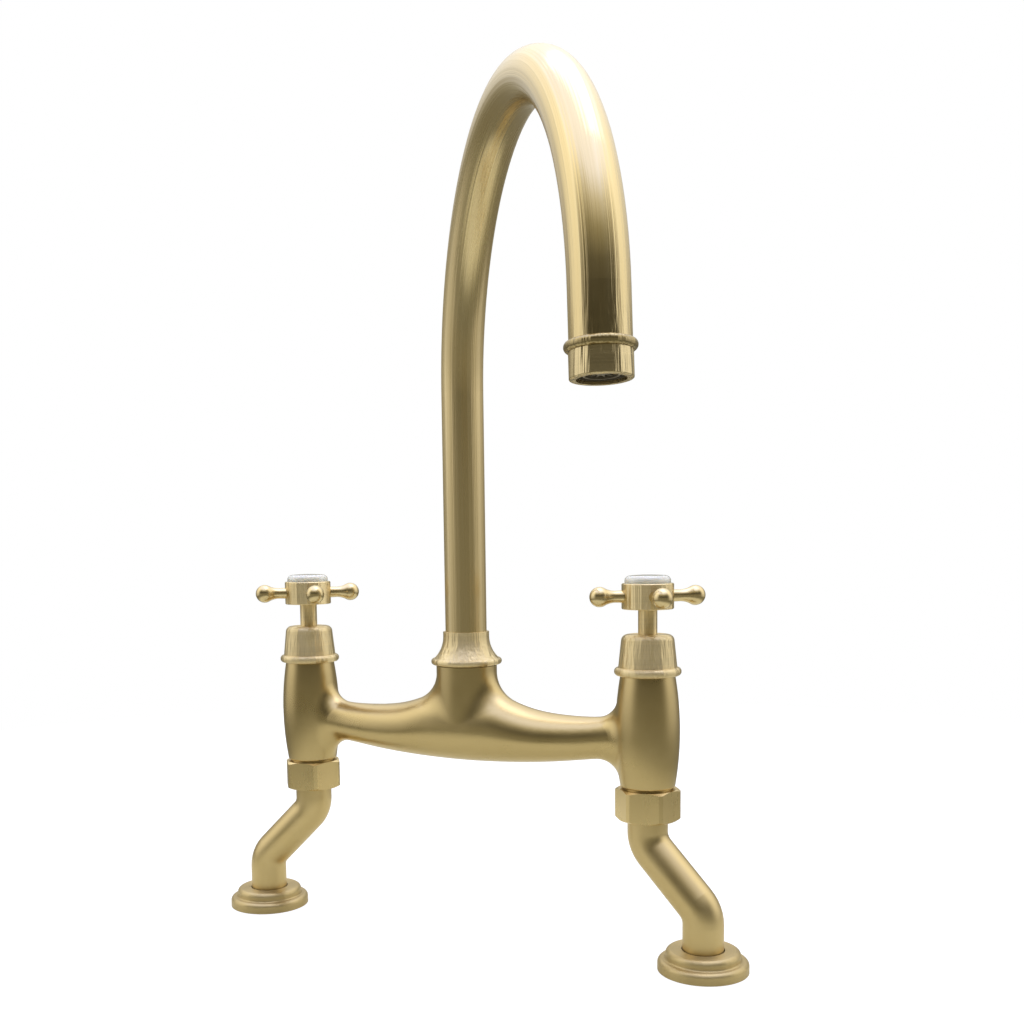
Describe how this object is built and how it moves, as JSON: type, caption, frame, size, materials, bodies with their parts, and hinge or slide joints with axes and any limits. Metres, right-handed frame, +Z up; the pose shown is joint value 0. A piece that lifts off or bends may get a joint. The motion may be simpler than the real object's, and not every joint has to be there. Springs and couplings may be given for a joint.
{
  "type": "bridge kitchen faucet",
  "caption": "Bridge kitchen faucet in brushed brass, with a swivelling gooseneck spout, cross handles with white buttons, and cranked legs that clamp to the deck.",
  "frame": {"origin": "on the deck's top, midway between the axes of the two valve pillars", "axes": "+X along the bridge to the cold side, -Y towards the user, +Z up; the spout is stored swung towards the cold side and the feet swung slightly forward, as in the picture"},
  "size_m": [0.3102, 0.2101, 0.4741],
  "materials": {
    "cast_brass": "satin brushed warm gold brass",
    "spout_brass": "brushed lengthwise, warm gold brass",
    "turned_brass": "brushed round the axis, warm gold brass",
    "nut_brass": "satin flats, warm gold brass",
    "arm_brass": "satin, warm gold brass",
    "leg_brass": "fine matt satin, warm gold brass",
    "raw_brass": "machined, unplated",
    "porcelain": "white gloss glaze",
    "ceramic": "lapped",
    "steel": "stainless, satin",
    "nylon": "moulded, satin",
    "ptfe": "smooth, low friction",
    "fibre": "red fibre",
    "rubber": "black, matt"
  },
  "bodies": {
    "bridge": {"bridge_casting": "cast_brass", "spout_collar": "turned_brass", "lower_slip_washer": "ptfe", "upper_slip_washer": "ptfe", "hot_valve_body": "raw_brass", "hot_body_seal": "rubber", "hot_seat_seal": "rubber", "hot_fixed_disc": "ceramic", "hot_shroud": "turned_brass", "hot_union_washer": "fibre", "hot_union_nut": "nut_brass", "cold_valve_body": "raw_brass", "cold_body_seal": "rubber", "cold_seat_seal": "rubber", "cold_fixed_disc": "ceramic", "cold_shroud": "turned_brass", "cold_union_washer": "fibre", "cold_union_nut": "nut_brass"},
    "spout": {"spout_tail": "raw_brass", "spout_seals": "rubber", "spout_tube": "spout_brass", "outlet_ferrule": "turned_brass", "aerator_housing": "turned_brass", "aerator_cage": "nylon", "aerator_screens": "steel", "aerator_seal": "rubber"},
    "hot_handle": {"hot_moving_disc": "ceramic", "hot_spindle": "raw_brass", "hot_spindle_seals": "rubber", "hot_spindle_clip": "steel", "hot_handle_stem": "turned_brass", "hot_handle_hub": "turned_brass", "hot_handle_arms": "arm_brass", "hot_handle_screw": "steel", "hot_index_button": "porcelain", "hot_button_ring": "rubber"},
    "hot_leg": {"hot_leg": "leg_brass", "hot_flange": "turned_brass", "hot_flange_seal": "rubber", "hot_shank": "raw_brass", "hot_deck_seal": "rubber", "hot_deck_washer": "raw_brass", "hot_backnut": "raw_brass"},
    "cold_handle": {"cold_moving_disc": "ceramic", "cold_spindle": "raw_brass", "cold_spindle_seals": "rubber", "cold_spindle_clip": "steel", "cold_handle_stem": "turned_brass", "cold_handle_hub": "turned_brass", "cold_handle_arms": "arm_brass", "cold_handle_screw": "steel", "cold_index_button": "porcelain", "cold_button_ring": "rubber"},
    "cold_leg": {"cold_leg": "leg_brass", "cold_flange": "turned_brass", "cold_flange_seal": "rubber", "cold_shank": "raw_brass", "cold_deck_seal": "rubber", "cold_deck_washer": "raw_brass", "cold_backnut": "raw_brass"}
  },
  "joints": [
    {"name": "spout_swivel", "type": "hinge", "parent": "bridge", "child": "spout", "pos_m": [0, 0, 0.152], "axis": [0, 0, 1], "continuous": true},
    {"name": "hot_handle_turn", "type": "hinge", "parent": "bridge", "child": "hot_handle", "pos_m": [-0.1015, 0, 0.1655], "axis": [0, 0, 1], "range_deg": [0, 90]},
    {"name": "cold_handle_turn", "type": "hinge", "parent": "bridge", "child": "cold_handle", "pos_m": [0.1015, 0, 0.1655], "axis": [0, 0, 1], "range_deg": [-90, 0]},
    {"name": "hot_leg_swivel", "type": "hinge", "parent": "bridge", "child": "hot_leg", "pos_m": [-0.1015, 0, 0.0723], "axis": [0, 0, 1], "continuous": true},
    {"name": "cold_leg_swivel", "type": "hinge", "parent": "bridge", "child": "cold_leg", "pos_m": [0.1015, 0, 0.0723], "axis": [0, 0, 1], "continuous": true}
  ]
}
